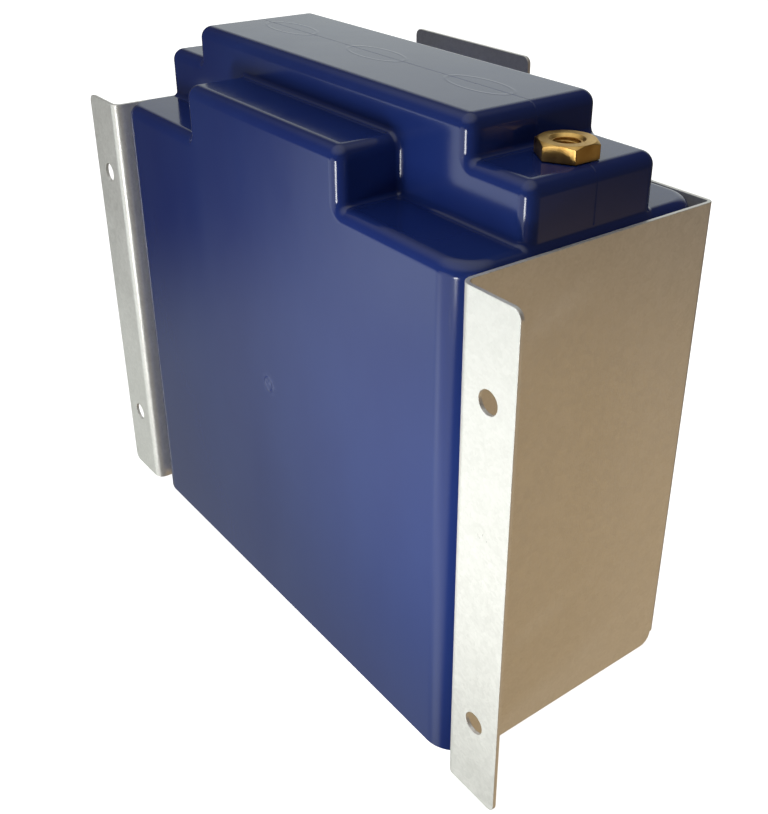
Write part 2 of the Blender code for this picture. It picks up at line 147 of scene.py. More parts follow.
def mould_marks(x, y, z):
    """Height of the mould's marks: the raised gate ring, and the parting line sunk into the ridge."""
    from_gate = np.hypot(x, z - GATE_Z)
    ring = bump(from_gate - 2.9 * MM, 0.45 * MM) + 0.6 * bump(from_gate, 0.7 * MM)
    gate = 0.16 * MM * ring * (y < 0) * (np.abs(y) > CASE.y - 2 * MM)
    parting = 0.07 * MM * bump(y, 0.16 * MM) * (z > SHOULDER_Z + 2 * MM)
    return gate - parting


def housing_distance(points):
    """Signed distance to the moulded shell, negative inside its walls."""
    x, y, z = points
    outer = case_distance(x, y, z, 0.0) - mould_marks(x, y, z)
    below = -z
    rim = np.hypot(outside(RIM_RADIUS + outer), outside(RIM_RADIUS + below))
    outer = np.minimum(-RIM_RADIUS, np.maximum(outer, below)) + rim

    from_terminal = np.hypot(np.abs(x) - TERMINAL_X, y)
    cavity = case_distance(x, y, z, WALL)
    boss = np.maximum(from_terminal - BOSS_RADIUS, PLATFORM_Z - WALL - BOSS_DEPTH - z)
    shell = np.maximum(outer, -np.maximum(cavity, -boss))
    hole = np.maximum(from_terminal - BOSS_HOLE_RADIUS, SHOULDER_Z - BOSS_DEPTH - z)
    return np.maximum(shell, -hole)


def grid_lines(zones, low, high, coarse):
    """Sorted grid lines: fine around each (centre, below, above, step) zone, coarse elsewhere."""
    lines = {low, high}
    for centre, below, above, step in zones:
        first, last = -round(below / step), round(above / step)
        lines |= {centre + (k + 0.5) * step for k in range(first, last)}
    kept = []
    for line in sorted(lines):
        if low <= line <= high and (not kept or line - kept[-1] > 0.12 * MM):
            kept.append(line)
    filled = []
    for start, end in zip(kept, kept[1:]):
        pieces = max(1, math.ceil((end - start) / coarse))
        filled += [start + (end - start) * i / pieces for i in range(pieces)]
    return np.array(filled + [kept[-1]])


def mirrored(zones):
    return zones + [(-centre, above, below, step) for centre, below, above, step in zones]


def surface_cells(distance, lines):
    """Closed quad mesh where the field changes sign: one vertex in each crossed grid cell."""
    grid = np.meshgrid(*lines, indexing="ij")
    field = distance(grid)
    inside = field < 0
    counts = np.array(field.shape) - 1
    total = np.zeros((*counts, 3))
    hits = np.zeros(counts)

    def window(array, axis, shift):
        """The part of a grid array that the cells see from one of the four edges along an axis."""
        cut = [slice(None)] * 3
        others = [other for other in range(3) if other != axis]
        for other, step in zip(others, shift):
            cut[other] = slice(step, step + counts[other])
        return array[tuple(cut)]

    for axis in range(3):
        low = [slice(None)] * 3
        high = [slice(None)] * 3
        low[axis], high[axis] = slice(0, -1), slice(1, None)
        low, high = tuple(low), tuple(high)
        crossed = inside[low] != inside[high]
        span = np.where(crossed, field[low] - field[high], 1.0)
        share = np.where(crossed, field[low] / span, 0.0)
        place = np.stack([grid[k][low] + share * (grid[k][high] - grid[k][low]) for k in range(3)], -1)
        for shift in ((0, 0), (0, 1), (1, 0), (1, 1)):
            met = window(crossed, axis, shift)
            total += np.where(met[..., None], window(place, axis, shift), 0.0)
            hits += met

    active = hits > 0
    index = np.full(counts, -1)
    index[active] = np.arange(active.sum())
    verts = total[active] / hits[active][:, None]

    faces = []
    for axis in range(3):
        u, v = [(1, 2), (2, 0), (0, 1)][axis]
        low = [slice(1, -1)] * 3
        high = [slice(1, -1)] * 3
        low[axis], high[axis] = slice(0, -1), slice(1, None)
        crossed = inside[tuple(low)] != inside[tuple(high)]
        at = np.argwhere(crossed)
        at += np.array([0 if k == axis else 1 for k in range(3)])
        outward = inside[tuple(at.T)]
        ring = []
        for du, dv in ((1, 1), (0, 1), (0, 0), (1, 0)):
            cell = at.copy()
            cell[:, u] -= du
            cell[:, v] -= dv
            ring.append(index[tuple(cell.T)])
        quads = np.stack(ring, 1)
        quads[outward] = quads[outward][:, ::-1]
        faces.append(quads[:, ::-1])
    return verts, np.concatenate(faces)


def slope(distance, points, step=0.02 * MM):
    """Gradient of the field at each point."""
    rows = []
    for axis in range(3):
        shift = np.zeros((1, 3))
        shift[0, axis] = step
        rows.append(distance((points + shift).T) - distance((points - shift).T))
    return np.stack(rows, 1) / (2 * step)


def settle(distance, points, rounds=4, most=0.5 * MM):
    """Moves points onto the surface along the field's slope."""
    for _ in range(rounds):
        gradient = slope(distance, points)
        length = np.maximum((gradient ** 2).sum(1), 0.2)
        move = -(distance(points.T) / length)[:, None] * gradient
        size = np.maximum(np.linalg.norm(move, axis=1), 1e-12)
        points = points + move * np.minimum(1.0, most / size)[:, None]
    return points


def make_housing(look):
    fine, medium, wall = 0.5 * MM, 0.75 * MM, 1.0 * MM
    round_zone = EDGE_RADIUS + 1 * MM
    x_lines = grid_lines(mirrored([
        (MIDDLE_HALF_LENGTH, round_zone, 3 * MM, fine),
        (BLOCK_HALF_LENGTH, round_zone, 3 * MM, fine),
        (RIDGE_HALF_LENGTH, round_zone, 1.5 * MM, fine),
        (CASE.x, CORNER_RADIUS + 1 * MM, 1 * MM, medium),
        (TERMINAL_X, BOSS_RADIUS + 1 * MM, BOSS_RADIUS + 1 * MM, wall),
        (0.0, 0.0, 4.5 * MM, 0.3 * MM),
    ]), -CASE.x - 1 * MM, CASE.x + 1 * MM, 12 * MM)
    y_lines = grid_lines(mirrored([
        (RIDGE_HALF_DEPTH, round_zone, 3 * MM, fine),
        (CASE.y, CORNER_RADIUS + 1 * MM, 1 * MM, medium),
        (0.0, 0.0, 0.5 * MM, 0.1 * MM),
        (0.0, 0.0, BOSS_RADIUS + 1 * MM, wall),
    ]), -CASE.y - 1 * MM, CASE.y + 1 * MM, 8 * MM)
    z_lines = grid_lines([
        (0.0, 0.6 * MM, 1.8 * MM, 0.2 * MM),
        (GATE_Z, 4.5 * MM, 4.5 * MM, 0.3 * MM),
        (SHOULDER_Z, round_zone, 3 * MM, fine),
        (PLATFORM_Z - WALL - BOSS_DEPTH, 2 * MM, 2 * MM, wall),
        (PLATFORM_Z, round_zone, 3 * MM, fine),
        (CASE.z, round_zone, 1 * MM, fine),
    ], -1 * MM, CASE.z + 1 * MM, 25 * MM)
    verts, faces = surface_cells(housing_distance, (x_lines, y_lines, z_lines))
    verts = settle(housing_distance, verts)

    mesh = bpy.data.meshes.new("moulded_housing")
    mesh.from_pydata(verts.tolist(), [], faces.tolist())
    bm = bmesh.new()
    bm.from_mesh(mesh)
    bmesh.ops.dissolve_limit(bm, angle_limit=math.radians(0.03), verts=bm.verts, edges=bm.edges)
    bm.to_mesh(mesh)
    bm.free()
    mesh.shade_smooth()
    kept = np.array([vert.co for vert in mesh.vertices])
    normals = slope(housing_distance, kept)
    normals /= np.linalg.norm(normals, axis=1)[:, None]
    mesh.normals_split_custom_set_from_vertices(normals.tolist())
    mesh.materials.append(look)
    add_piece("moulded_housing", mesh, "navy_moulding", "housing")


# ------------------------------------------------------------------ shared helpers
def add_piece(name, mesh, slot, *nodes):
    """Puts a mesh in the scene as a piece that stands for CAD nodes."""
    piece = bpy.data.objects.new(name, mesh)
    bpy.context.scene.collection.objects.link(piece)
    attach(piece, "root")
    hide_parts(*nodes)
    return piece


def cut_faces(bm, place, normal, **settings):
    """Cuts every face of the mesh along a plane."""
    everything = list(bm.verts) + list(bm.edges) + list(bm.faces)
    bmesh.ops.bisect_plane(bm, geom=everything, plane_co=place, plane_no=normal, **settings)


def arc(center, radius, start, end, steps):
    """Points along an arc, angles in degrees."""
    angles = [math.radians(start + (end - start) * i / steps) for i in range(steps + 1)]
    return [(center[0] + radius * math.cos(a), center[1] + radius * math.sin(a)) for a in angles]


# ------------------------------------------------------------------ mounting bracket
def bracket_runs():
    """Centre line of the folded sheet, from the left flange's tip to the right flange's tip."""
    flange = FLANGE_TIP_X - (WEB_X - SHEET / 2) - FLANGE_BEND
    web = BRACKET_DEPTH - SHEET - FLANGE_BEND - BACK_BEND
    back = 2 * (WEB_X - SHEET / 2) - 2 * BACK_BEND
    left = [("line", flange, 0), ("bend", 90, FLANGE_BEND), ("line", web, 0), ("bend", -90, BACK_BEND)]
    return left + [("line", back, 0)] + left[::-1]


def run_length(kind, amount, radius):
    return amount if kind == "line" else math.radians(abs(amount)) * radius


def fold(s, offset):
    """Plan position of the point at distance s along the blank, offset across the sheet."""
    at = Vector((-FLANGE_TIP_X, -(BRACKET_DEPTH - SHEET) / 2))
    heading = Vector((1.0, 0.0))
    runs = bracket_runs()
    for index, (kind, amount, radius) in enumerate(runs):
        length = run_length(kind, amount, radius)
        inside = s <= length or index == len(runs) - 1
        step = s if inside else length
        if kind == "line":
            at = at + heading * step
        else:
            turn = math.copysign(1.0, amount)
            center = at + Vector((-heading.y, heading.x)) * turn * radius
            spin = Matrix.Rotation(turn * step / radius, 2)
            at = center + spin @ (at - center)
            heading = spin @ heading
        if inside:
            break
        s -= length
    return at + Vector((-heading.y, heading.x)) * offset


def blank_outline(web_left, web_right, total):
    """Edge of the flat blank, in distance along the sheet and height."""
    middle = total / 2
    r, t, b = FLANGE_CORNER, TAB_CORNER, BACK_RISE
    top = BRACKET_HEIGHT
    points = arc((r, r), r, 180, 270, 10)
    points += arc((web_left - b, b), b, -90, 0, 14)
    points += arc((web_right + b, b), b, 180, 270, 14)
    points += arc((total - r, r), r, 270, 360, 10)
    points += arc((total - r, top - r), r, 0, 90, 10)
    points += [(middle + TAB_RIGHT, top)]
    points += arc((middle + TAB_RIGHT - t, TAB_TOP - t), t, 0, 90, 10)
    points += arc((middle + TAB_LEFT + t, TAB_TOP - t), t, 90, 180, 10)
    points += [(middle + TAB_LEFT, top)]
    points += arc((r, top - r), r, 90, 180, 10)
    return points


def make_bracket(look):
    runs = bracket_runs()
    starts = [0.0]
    for run in runs:
        starts.append(starts[-1] + run_length(*run))
    total = starts[-1]

    hole_s = FLANGE_TIP_X - FLANGE_HOLE_X
    loops = [blank_outline(starts[3], starts[6], total)]
    for s in (hole_s, total - hole_s):
        for side in (-1, 1):
            z = (BRACKET_HEIGHT + side * FLANGE_HOLE_SPACING) / 2
            loops.append(arc((s, z), FLANGE_HOLE_RADIUS, 0, 360, 64)[:-1])

    bm = bmesh.new()
    edges = []
    for loop in loops:
        verts = [bm.verts.new((s, 0.0, z)) for s, z in loop]
        edges += [bm.edges.new((verts[i - 1], verts[i])) for i in range(len(verts))]
    bmesh.ops.triangle_fill(bm, edges=edges, use_beauty=True, use_dissolve=False, normal=(0, -1, 0))
    grown = bmesh.ops.extrude_face_region(bm, geom=list(bm.faces))
    moved = [part for part in grown["geom"] if isinstance(part, bmesh.types.BMVert)]
    bmesh.ops.translate(bm, vec=(0, SHEET, 0), verts=moved)
    bmesh.ops.recalc_face_normals(bm, faces=bm.faces)
    bmesh.ops.dissolve_limit(bm, angle_limit=math.radians(1), verts=bm.verts, edges=bm.edges)
    rims = [edge for edge in bm.edges
            if abs(edge.verts[0].co.y - edge.verts[1].co.y) < 1e-7 and edge.calc_face_angle(0) > 1.0]
    bmesh.ops.bevel(bm, geom=rims, offset=SHEARED_EDGE, segments=3, profile=0.5, affect="EDGES")
    bmesh.ops.triangulate(bm, faces=[face for face in bm.faces if len(face.verts) > 4])

    guard = 0.4 * MM                # narrow flat strips beside each bend keep the flats' shading flat
    for index, run in enumerate(runs):
        if run[0] != "bend":
            continue
        low, high = starts[index], starts[index + 1]
        cuts = [low - guard, high + guard]
        cuts += [low + (high - low) * step / BEND_STEPS for step in range(BEND_STEPS + 1)]
        for cut in cuts:
            cut_faces(bm, (cut, 0, 0), (1, 0, 0), dist=1e-7)
    for level in range(1, 10):      # short faces, so that no long sliver crosses a flat
        cut_faces(bm, (0, 0, BRACKET_HEIGHT * level / 10), (0, 0, 1), dist=1e-7)
    for vert in bm.verts:
        plan = fold(vert.co.x, vert.co.y - SHEET / 2)
        vert.co = (plan.x, plan.y, vert.co.z)
    bmesh.ops.recalc_face_normals(bm, faces=bm.faces)
    mesh = bpy.data.meshes.new("folded_bracket")
    bm.to_mesh(mesh)
    bm.free()
    mesh.shade_smooth()
    mesh.materials.append(look)
    piece = add_piece("folded_bracket", mesh, "galvanised_sheet", "mounting_bracket")
    weigh_normals(piece)


def weigh_normals(piece):
    """Shading normals that follow the larger faces, so flats stay flat beside small roundings."""
    step = piece.modifiers.new("weighted_normals", "WEIGHTED_NORMAL")
    step.mode = "FACE_AREA"
    step.weight = 100
    return step


# ------------------------------------------------------------------ terminal inserts
HEX_HEIGHT = 0.0056
HEX_CORNER_RADIUS = 0.35 * MM
SHANK_RADIUS = 0.0075
COLLAR_RADIUS = 0.0095
COLLAR_HEIGHT = 0.003
SPIGOT_RADIUS = 0.0045
SPIGOT_LENGTH = 0.0022
THREAD_CREST = 0.00425
THREAD_ROOT = 0.0050
THREAD_PITCH = 0.0015
THREAD_RUN_OUT = 0.0008          # plain bore below the lowest groove
THREAD_ROWS = 110
BORE_DEPTH = 0.019
DRILL_POINT = 0.0012
BORE_CHAMFER = 0.0010
CHAMFER_SLOPE = math.tan(math.radians(30))
CHAMFER_START = 0.985            # share of the half width over flats where the top's chamfer begins


def hexagon_outline():
    """Angle and radius of points round a hexagon with slightly round corners, flats facing X."""
    flat = HEX_ACROSS_FLATS / 2
    corner_center = (flat - HEX_CORNER_RADIUS) / math.cos(math.radians(30))
    half_side = corner_center * math.sin(math.radians(30))
    points = []
    for side in range(6):
        turn = math.radians(60 * side)
        local = [(flat, half_side * share) for share in np.linspace(-1, 1, 11)]
        middle = (corner_center * math.cos(math.radians(30)), half_side)
        local += arc(middle, HEX_CORNER_RADIUS, 0, 60, 6)[1:-1]
        for u, v in local:
            angle = (math.atan2(v, u) + turn) % (2 * math.pi)
            points.append((angle, math.hypot(u, v)))
    return sorted(points)


def make_insert(side, x, look):
    """Brass insert: chamfered hexagon, threaded bore, and the shank and collar in the housing's boss."""
    outline = hexagon_outline()
    flat = HEX_ACROSS_FLATS / 2
    seat = HEX_TOP - HEX_HEIGHT
    collar_bottom = INSERT_LOW.z + SPIGOT_LENGTH
    collar_top = collar_bottom + COLLAR_HEIGHT
    bore_bottom = HEX_TOP - BORE_DEPTH

    def even(radius, z):
        return [(radius, z) for _ in outline]

    def hexagon(inset, drop):
        rows = []
        for _, radius in outline:
            worn = radius - inset
            rows.append((worn, HEX_TOP - drop - outside(worn - flat * CHAMFER_START) * CHAMFER_SLOPE))
        return rows

    def threaded(z):
        rows = []
        for angle, _ in outline:
            phase = (z / THREAD_PITCH - angle / (2 * math.pi)) % 1.0
            ridge = min(1.0, max(0.0, 1.25 * (1 - abs(2 * phase - 1)) - 0.1))
            rows.append((THREAD_ROOT + (THREAD_CREST - THREAD_ROOT) * ridge, z))
        return rows

    thread_top = HEX_TOP - BORE_CHAMFER
    thread_bottom = bore_bottom + THREAD_RUN_OUT
    mouth = THREAD_ROOT + BORE_CHAMFER
    rings = [even(0.4 * MM, bore_bottom - DRILL_POINT), even(THREAD_CREST, bore_bottom)]
    for row in range(THREAD_ROWS + 1):
        rings.append(threaded(thread_bottom + (thread_top - thread_bottom) * row / THREAD_ROWS))
    rings += [
        even(THREAD_ROOT + 0.05 * MM, thread_top + 0.02 * MM),
        even(mouth - 0.1 * MM, HEX_TOP - 0.12 * MM),
        even(mouth + 0.02 * MM, HEX_TOP - 0.02 * MM),
        even(mouth + 0.15 * MM, HEX_TOP),
        even(flat * 0.96, HEX_TOP),
        even(flat * CHAMFER_START, HEX_TOP),
        even(flat, HEX_TOP - 0.13 * MM * CHAMFER_SLOPE),
        hexagon(0.10 * MM, 0.0),
        hexagon(0.02 * MM, 0.06 * MM),
        hexagon(0.0, 0.16 * MM),
        [(radius, seat + 1.2 * MM) for _, radius in outline],
        [(radius, seat + 0.12 * MM) for _, radius in outline],
        [(radius - 0.12 * MM, seat) for _, radius in outline],
        even(SHANK_RADIUS, seat),
        even(SHANK_RADIUS, collar_top),
        even(COLLAR_RADIUS, collar_top),
        even(COLLAR_RADIUS, collar_bottom),
        even(SPIGOT_RADIUS, collar_bottom),
        even(SPIGOT_RADIUS, INSERT_LOW.z),
    ]

    bm = bmesh.new()
    rows = []
    for ring in rings:
        row = []
        for (angle, _), (radius, z) in zip(outline, ring):
            row.append(bm.verts.new((x + radius * math.cos(angle), radius * math.sin(angle), z)))
        rows.append(row)
    count = len(outline)
    for lower, upper in zip(rows, rows[1:]):
        for i in range(count):
            j = (i + 1) % count
            bm.faces.new((lower[i], lower[j], upper[j], upper[i]))
    bm.faces.new(rows[0])
    bm.faces.new(list(reversed(rows[-1])))
    bmesh.ops.recalc_face_normals(bm, faces=bm.faces)
    name = f"brass_insert_{side}"
    mesh = bpy.data.meshes.new(name)
    bm.to_mesh(mesh)
    bm.free()
    mesh.shade_smooth()
    mesh.set_sharp_from_angle(angle=math.radians(35))
    mesh.materials.append(look)
    piece = add_piece(name, mesh, "brass", f"terminal_insert_{side}")
    weigh_normals(piece).keep_sharp = True


# ------------------------------------------------------------------ materials
class Look:
    """A node material under construction: a Principled shader and the nodes that feed it."""

    def __init__(self, name, **constants):
        self.material = bpy.data.materials.new(name)
        self.material.use_nodes = True
        self.tree = self.material.node_tree
        self.shader = self.tree.nodes["Principled BSDF"]
        for socket, value in constants.items():
            self.shader.inputs[socket.replace("_", " ")].default_value = value
        self.place = self.tree.nodes.new("ShaderNodeTexCoord").outputs["Object"]

    def node(self, kind, inputs=(), **settings):
        made = self.tree.nodes.new("ShaderNode" + kind)
        for key, value in settings.items():
            setattr(made, key, value)
        for socket, value in dict(inputs).items():
            if isinstance(value, bpy.types.NodeSocket):
                self.tree.links.new(value, made.inputs[socket])
            else:
                made.inputs[socket].default_value = value
        return made

    def stretched(self, scale):
        return self.node("Mapping", {"Vector": self.place, "Scale": scale}).outputs["Vector"]

    def noise(self, scale, detail=3.0, place=None, rough=0.5):
        inputs = {"Vector": place or self.place, "Scale": scale, "Detail": detail, "Roughness": rough}
        return self.node("TexNoise", inputs).outputs["Fac"]

    def cells(self, scale, place=None, output="Color"):
        return self.node("TexVoronoi", {"Vector": place or self.place, "Scale": scale}).outputs[output]

    def span(self, value, low, high, new_low, new_high):
        inputs = {"Value": value, "From Min": low, "From Max": high, "To Min": new_low, "To Max": new_high}
        return self.node("MapRange", inputs).outputs["Result"]

    def math(self, operation, first, second):
        return self.node("Math", {0: first, 1: second}, operation=operation).outputs[0]

    def mix(self, factor, first, second):
        made = self.node("Mix", {"Factor": factor}, data_type="RGBA")
        for socket, value in (("A", first), ("B", second)):
            target = [item for item in made.inputs if item.name == socket and item.type == "RGBA"][0]
            if isinstance(value, bpy.types.NodeSocket):
                self.tree.links.new(value, target)
            else:
                target.default_value = (*value, 1.0)
        return [item for item in made.outputs if item.type == "RGBA"][0]

    def bump(self, height, strength, distance, under=None):
        inputs = {"Height": height, "Strength": strength, "Distance": distance}
        if under is not None:
            inputs["Normal"] = under
        return self.node("Bump", inputs).outputs["Normal"]

    def feed(self, **sockets):
        for socket, value in sockets.items():
            self.tree.links.new(value, self.shader.inputs[socket.replace("_", " ")])
        return self.material


EJECTOR_SPACING = 0.060
EJECTOR_MARK = (0.016, 0.007)    # half length and half width of each oval


def witness_marks(look):
    """Height of the oval marks which the mould's three ejectors leave along the block's top."""
    x, y, z = (look.node("SeparateXYZ", {"Vector": look.place}).outputs[axis] for axis in "XYZ")
    half_length, half_width = EJECTOR_MARK
    wrapped = {0: x, 1: EJECTOR_SPACING / 2, 2: -EJECTOR_SPACING / 2}
    along = look.math("DIVIDE", look.node("Math", wrapped, operation="WRAP").outputs[0], half_length)
    across = look.math("DIVIDE", y, half_width)
    place = look.node("CombineXYZ", {"X": along, "Y": across}).outputs["Vector"]
    from_middle = look.node("VectorMath", {0: place}, operation="LENGTH").outputs["Value"]
    outline = look.math("ABSOLUTE", look.math("SUBTRACT", from_middle, 1.0), 0.0)
    on_top = look.span(z, CASE.z - 1.0 * MM, CASE.z - 0.3 * MM, 0.0, 1.0)
    return look.math("MULTIPLY", look.span(outline, 0.0, 0.10, 1.0, 0.0), on_top)


def navy_moulding():
    look = Look("navy_moulding", IOR=1.5)
    cloud = look.noise(14.0, 4.0, look.stretched((1.0, 1.0, 0.6)))
    streak = look.noise(30.0, 3.0, look.stretched((1.6, 1.0, 0.35)))
    color = look.mix(look.span(cloud, 0.35, 0.65, 0.0, 1.0), (0.0105, 0.0240, 0.138), (0.0140, 0.0320, 0.156))
    ends = {0: look.place, 1: (0.0, -CASE.y, GATE_Z)}
    from_gate = look.node("VectorMath", ends, operation="DISTANCE").outputs["Value"]
    halo = look.span(from_gate, 1.5 * MM, 6.0 * MM, 1.0, 0.0)
    blush = look.math("MULTIPLY", halo, look.span(look.noise(420.0, 3.0), 0.40, 0.65, 0.0, 0.30))
    color = look.mix(blush, color, (0.12, 0.15, 0.30))
    gloss = look.math("ADD", look.span(streak, 0.3, 0.7, 0.10, 0.15), look.span(cloud, 0.3, 0.7, -0.01, 0.03))
    waves = look.bump(look.noise(55.0, 2.0), 0.10, 0.0004)
    waves = look.bump(witness_marks(look), 0.6, 0.00012, waves)
    grain = look.bump(look.noise(1400.0, 2.0), 0.05, 0.00006, waves)
    return look.feed(Base_Color=color, Roughness=gloss, Normal=grain)


def galvanised_sheet():
    look = Look("galvanised_sheet", Metallic=0.5)
    warp = look.node("TexNoise", {"Vector": look.place, "Scale": 260.0, "Detail": 2.0}).outputs["Color"]
    shift = look.node("VectorMath", {0: warp, "Scale": 2.2 * MM}, operation="SCALE").outputs[0]
    mixed = look.node("VectorMath", {0: look.place, 1: shift}, operation="ADD").outputs[0]
    flake = look.node("SeparateColor", {"Color": look.cells(900.0, mixed)}).outputs[0]
    bloom = look.node("SeparateColor", {"Color": look.cells(330.0, mixed)}).outputs[1]
    stain = look.noise(32.0, 4.0)
    tone = look.math("ADD", look.span(flake, 0.0, 1.0, -0.16, 0.16), look.span(bloom, 0.0, 1.0, -0.10, 0.10))
    tone = look.math("ADD", tone, look.span(stain, 0.3, 0.7, 0.36, 0.64))
    color = look.mix(tone, (0.71, 0.705, 0.68), (0.92, 0.915, 0.89))
    gloss = look.math("ADD", look.span(flake, 0.0, 1.0, 0.30, 0.42), look.span(stain, 0.3, 0.7, -0.03, 0.03))
    relief = look.bump(look.noise(420.0, 2.0, mixed), 0.15, 0.00008)
    fine = look.bump(look.noise(2600.0, 2.0), 0.12, 0.00006, relief)
    return look.feed(Base_Color=color, Roughness=gloss, Normal=fine)


def brass():
    look = Look("brass", Metallic=1.0)
    brushed = look.noise(420.0, 3.0, look.stretched((3.0, 3.0, 0.25)))
    tarnish = look.noise(170.0, 4.0)
    color = look.mix(look.span(tarnish, 0.3, 0.7, 0.0, 1.0), (0.52, 0.29, 0.07), (0.78, 0.52, 0.18))
    dulled = look.span(tarnish, 0.3, 0.7, 0.0, 0.08)
    gloss = look.math("ADD", look.span(brushed, 0.3, 0.7, 0.26, 0.38), dulled)
    return look.feed(Base_Color=color, Roughness=gloss, Normal=look.bump(brushed, 0.08, 0.00006))


def tinned_copper():
    look = Look("tinned_copper", Metallic=1.0)
    drawn = look.noise(500.0, 3.0, look.stretched((0.15, 1.0, 1.0)))
    cloud = look.noise(60.0, 4.0)
    color = look.mix(look.span(cloud, 0.3, 0.7, 0.0, 1.0), (0.62, 0.59, 0.55), (0.80, 0.78, 0.74))
    return look.feed(Base_Color=color, Roughness=look.span(drawn, 0.3, 0.7, 0.28, 0.42),
                     Normal=look.bump(drawn, 0.12, 0.00005))


def metallised_film():
    look = Look("metallised_film", IOR=1.6, Metallic=0.55)
    layers = look.noise(2200.0, 2.0, look.stretched((1.0, 0.02, 0.12)))
    haze = look.noise(45.0, 3.0)
    color = look.mix(look.span(haze, 0.3, 0.7, 0.0, 1.0), (0.52, 0.54, 0.56), (0.68, 0.69, 0.70))
    return look.feed(Base_Color=color, Roughness=look.span(layers, 0.3, 0.7, 0.22, 0.36),
                     Normal=look.bump(layers, 0.15, 0.00004))


def sprayed_zinc():
    look = Look("sprayed_zinc", Metallic=0.8)
    grit = look.noise(3000.0, 5.0, rough=0.7)
    patch = look.noise(120.0, 3.0)
    color = look.mix(look.span(patch, 0.3, 0.7, 0.0, 1.0), (0.36, 0.36, 0.35), (0.52, 0.52, 0.50))
    return look.feed(Base_Color=color, Roughness=look.span(grit, 0.3, 0.7, 0.65, 0.85),
                     Normal=look.bump(grit, 0.5, 0.00015))


def insulation_board():
    look = Look("insulation_board", IOR=1.5)
    fibre = look.noise(900.0, 4.0, look.stretched((1.0, 0.2, 0.6)))
    mottle = look.noise(70.0, 3.0)
    color = look.mix(look.span(mottle, 0.3, 0.7, 0.0, 1.0), (0.62, 0.48, 0.27), (0.76, 0.63, 0.40))
    return look.feed(Base_Color=color, Roughness=look.span(fibre, 0.3, 0.7, 0.70, 0.85),
                     Normal=look.bump(fibre, 0.25, 0.00008))


def potting_resin():
    look = Look("potting_resin", IOR=1.52)
    swirl = look.noise(35.0, 4.0)
    pores = look.cells(420.0, output="Distance")
    color = look.mix(look.span(swirl, 0.3, 0.7, 0.0, 1.0), (0.018, 0.018, 0.022), (0.040, 0.040, 0.046))
    pits = look.bump(look.span(pores, 0.0, 0.12, 0.0, 1.0), 0.2, 0.0001)
    return look.feed(Base_Color=color, Roughness=look.span(swirl, 0.3, 0.7, 0.32, 0.50),
                     Normal=look.bump(look.noise(60.0, 2.0), 0.25, 0.0008, pits))


def tape():
    look = Look("tape", IOR=1.45)
    foam = look.cells(1500.0, output="Distance")
    color = look.mix(look.span(foam, 0.1, 0.6, 0.0, 1.0), (0.020, 0.020, 0.020), (0.055, 0.055, 0.055))
    return look.feed(Base_Color=color, Roughness=look.span(foam, 0.1, 0.6, 0.8, 0.95),
                     Normal=look.bump(foam, 0.3, 0.0001))


# ------------------------------------------------------------------ studio
CAMERA_PLACE = (0.3372, -0.2440, 0.3252)
CAMERA_TURN = 51.72             # degrees from +Y towards -X
CAMERA_DOWN = 27.41
CAMERA_ROLL = 0.57
CAMERA_LENS = 47.7              # millimetres, on a 36 mm sensor
CAMERA_SHIFT = (-0.0424, -0.0725)
STUDIO_RADIUS = 4.0
FLOOR_Z = -0.0003               # just below the rims that the object stands on


def make_camera():
    turn, down, roll = (math.radians(a) for a in (CAMERA_TURN, CAMERA_DOWN, CAMERA_ROLL))
    ahead = Vector((-math.sin(turn) * math.cos(down), math.cos(turn) * math.cos(down), -math.sin(down)))
    level = Vector((math.cos(turn), math.sin(turn), 0.0))
    right = (level * math.cos(roll) + level.cross(ahead) * math.sin(roll)).normalized()
    up = right.cross(ahead)
    data = bpy.data.cameras.new("camera")
    data.sensor_width = 36.0
    data.lens = CAMERA_LENS
    data.shift_x, data.shift_y = CAMERA_SHIFT
    data.clip_start = 0.01
    camera = bpy.data.objects.new("camera", data)
    camera.matrix_world = Matrix.Translation(CAMERA_PLACE) @ Matrix((right, up, -ahead)).transposed().to_4x4()
    bpy.context.scene.collection.objects.link(camera)
    bpy.context.scene.camera = camera


def make_floor():
    """Pale floor and dome in one, which only the camera sees: light passes through and nothing mirrors it."""
    bm = bmesh.new()
    bmesh.ops.create_uvsphere(bm, u_segments=96, v_segments=48, radius=STUDIO_RADIUS)
    cut_faces(bm, (0, 0, FLOOR_Z), (0, 0, 1), clear_inner=True)
    rim = [edge for edge in bm.edges if edge.is_boundary]
    bmesh.ops.contextual_create(bm, geom=rim)
    mesh = bpy.data.meshes.new("floor")
    bm.to_mesh(mesh)
    bm.free()
    look = Look("pale_floor", Roughness=0.9, Emission_Strength=0.85, Emission_Color=(1.0, 1.0, 1.0, 1.0))
    look.shader.inputs["Specular IOR Level"].default_value = 0.0
    grain = look.noise(300.0, 2.0)
    mesh.materials.append(look.feed(Base_Color=look.mix(grain, (0.90, 0.90, 0.90), (0.93, 0.93, 0.93))))
    floor = bpy.data.objects.new("floor", mesh)
    bpy.context.scene.collection.objects.link(floor)
    floor.visible_glossy = False
    floor.visible_diffuse = False
    floor.visible_shadow = False


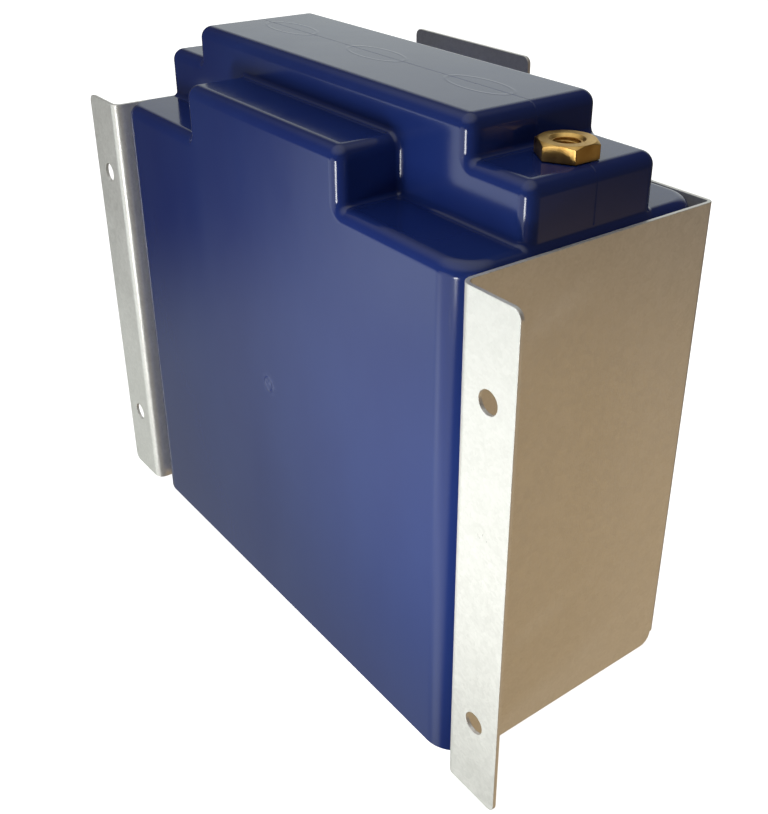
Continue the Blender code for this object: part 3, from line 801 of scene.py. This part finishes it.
SURROUND = (0.07, 0.06, 0.05)
SOFT_LIGHTS = [
    # direction towards the light, width and soft edge in degrees, colour
    ((0.27, -0.91, -0.30), 7, 4, (20.0, 20.0, 19.5)),
    ((-0.18, -0.90, -0.40), 30, 14, (1.00, 1.03, 1.00)),
    ((-0.62, -0.68, -0.40), 21, 15, (0.55, 0.59, 0.56)),
    ((-0.70, -0.63, -0.28), 12, 10, (0.62, 0.70, 0.78)),
    ((-0.45, -0.35, -0.82), 37, 8, (0.34, 0.37, 0.34)),
    ((-0.68, 0.71, 0.18), 36, 28, (0.74, 0.80, 0.77)),
    ((-0.05, -0.20, 1.00), 60, 52, (0.90, 0.92, 0.92)),
    ((0.48, 0.52, -0.71), 30, 14, (0.57, 0.40, 0.20)),
]
FILL_LAMPS = [
    # place, aim, diameter, spread in degrees, watts, colour
    ((0.031, -0.250, 0.182), (0.15, -0.055, 0.0), 0.06, 180, 0.33, (1.0, 1.0, 0.98)),
    ((0.121, -0.25, 0.09), (0.138, -0.057, 0.10), 0.02, 80, 0.048, (1.0, 1.0, 0.96)),
    ((0.46, 0.12, 0.11), (0.12, 0.02, 0.14), 0.20, 180, 0.17, (1.0, 0.66, 0.38)),
]


def make_world():
    """Soft studio light: glowing patches on a dim surround."""
    world = bpy.data.worlds.new("soft_studio")
    bpy.context.scene.world = world
    world.use_nodes = True
    tree = world.node_tree
    toward = tree.nodes.new("ShaderNodeTexCoord").outputs["Generated"]

    def vector_math(operation):
        made = tree.nodes.new("ShaderNodeVectorMath")
        made.operation = operation
        return made

    so_far = None
    for direction, width, edge, color in SOFT_LIGHTS:
        dot = vector_math("DOT_PRODUCT")
        tree.links.new(toward, dot.inputs[0])
        dot.inputs[1].default_value = Vector(direction).normalized()
        fade = tree.nodes.new("ShaderNodeMapRange")
        fade.interpolation_type = "SMOOTHSTEP"
        tree.links.new(dot.outputs["Value"], fade.inputs["Value"])
        fade.inputs["From Min"].default_value = math.cos(math.radians(width))
        fade.inputs["From Max"].default_value = math.cos(math.radians(width - edge))
        glow = vector_math("SCALE")
        glow.inputs[0].default_value = color
        tree.links.new(fade.outputs["Result"], glow.inputs["Scale"])
        total = vector_math("ADD")
        if so_far is None:
            total.inputs[0].default_value = SURROUND
        else:
            tree.links.new(so_far, total.inputs[0])
        tree.links.new(glow.outputs[0], total.inputs[1])
        so_far = total.outputs[0]
    tree.links.new(so_far, tree.nodes["Background"].inputs["Color"])
    bpy.context.scene.view_settings.view_transform = "Standard"


def make_lamps():
    """Close soft lamps, which light the surfaces but don't show in them."""
    for place, aim, diameter, spread, watts, color in FILL_LAMPS:
        data = bpy.data.lights.new("fill_lamp", "AREA")
        data.shape = "DISK"
        data.size = diameter
        data.energy = watts
        data.color = color
        data.spread = math.radians(spread)
        lamp = bpy.data.objects.new("fill_lamp", data)
        turn = (Vector(aim) - Vector(place)).to_track_quat("-Z", "Y")
        lamp.matrix_world = Matrix.Translation(place) @ turn.to_matrix().to_4x4()
        lamp.visible_camera = False
        lamp.visible_glossy = False
        bpy.context.scene.collection.objects.link(lamp)


# ------------------------------------------------------------------ the object
def dress_cad_nodes():
    """Gives each node that keeps its CAD shape its material."""
    looks = {
        "potting_resin": potting_resin(),
        "bond_tape": tape(),
        "busbar": tinned_copper(),
        "winding": metallised_film(),
        "end_spray": sprayed_zinc(),
        "pack_wrap": insulation_board(),
    }
    looks["row_separator"] = looks["top_insulator"] = looks["pack_wrap"]
    for name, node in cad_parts.items():
        for start, look in looks.items():
            if name.startswith(start):
                for slot in node.material_slots:
                    slot.material = look


make_camera()
make_housing(navy_moulding())
make_bracket(galvanised_sheet())
brass_look = brass()
for side, x in (("left", -TERMINAL_X), ("right", TERMINAL_X)):
    make_insert(side, x, brass_look)
dress_cad_nodes()
make_floor()
make_world()
make_lamps()
